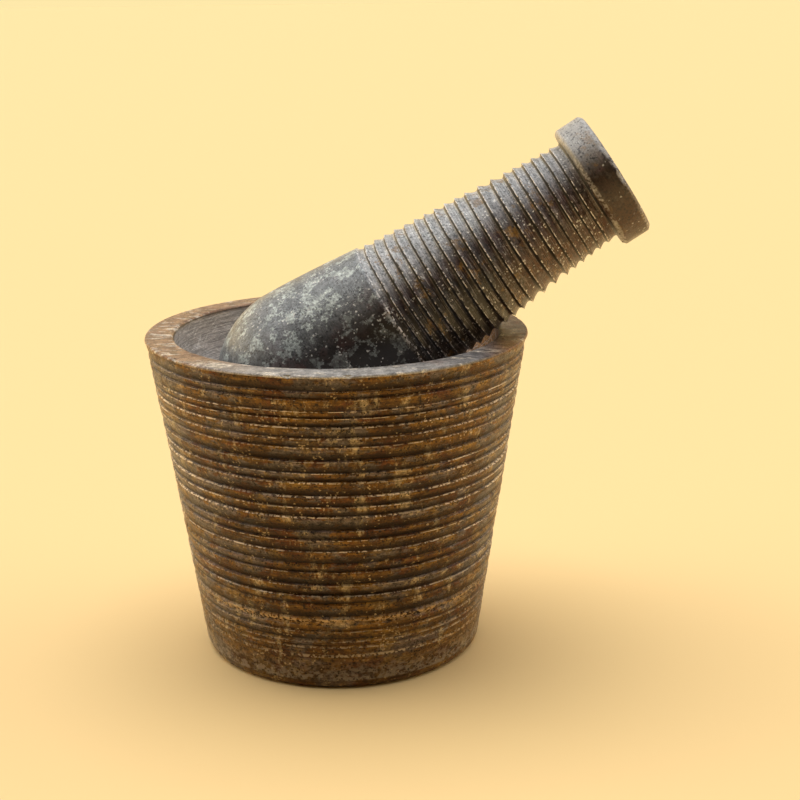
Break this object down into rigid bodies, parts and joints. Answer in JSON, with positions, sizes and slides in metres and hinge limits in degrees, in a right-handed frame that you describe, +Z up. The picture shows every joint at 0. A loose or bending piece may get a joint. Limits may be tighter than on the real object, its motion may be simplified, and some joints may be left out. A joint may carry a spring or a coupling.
{
  "type": "mortar and pestle",
  "caption": "Stone mortar, a tapered ribbed cup with a flat base and a round bowl, with a stone pestle that has a ridged grip and a disc cap leaning in it on the lip.",
  "frame": {"origin": "centre of the mortar's flat base", "axes": "+Z up, out of the bowl. The pestle leans towards +X, and its axis lies in the XZ plane."},
  "size_m": [0.1306, 0.0998, 0.1393],
  "materials": {
    "mortar_stone": "matte, turned",
    "pestle_stone": "satin, worn smooth"
  },
  "bodies": {
    "mortar": {"mortar": "mortar_stone"},
    "pestle": {"pestle": "pestle_stone"}
  },
  "joints": [
    {"name": "pestle_lift", "type": "slide", "parent": "mortar", "child": "pestle", "axis": [0, 0, 1], "range_m": [0, 0.06]}
  ]
}
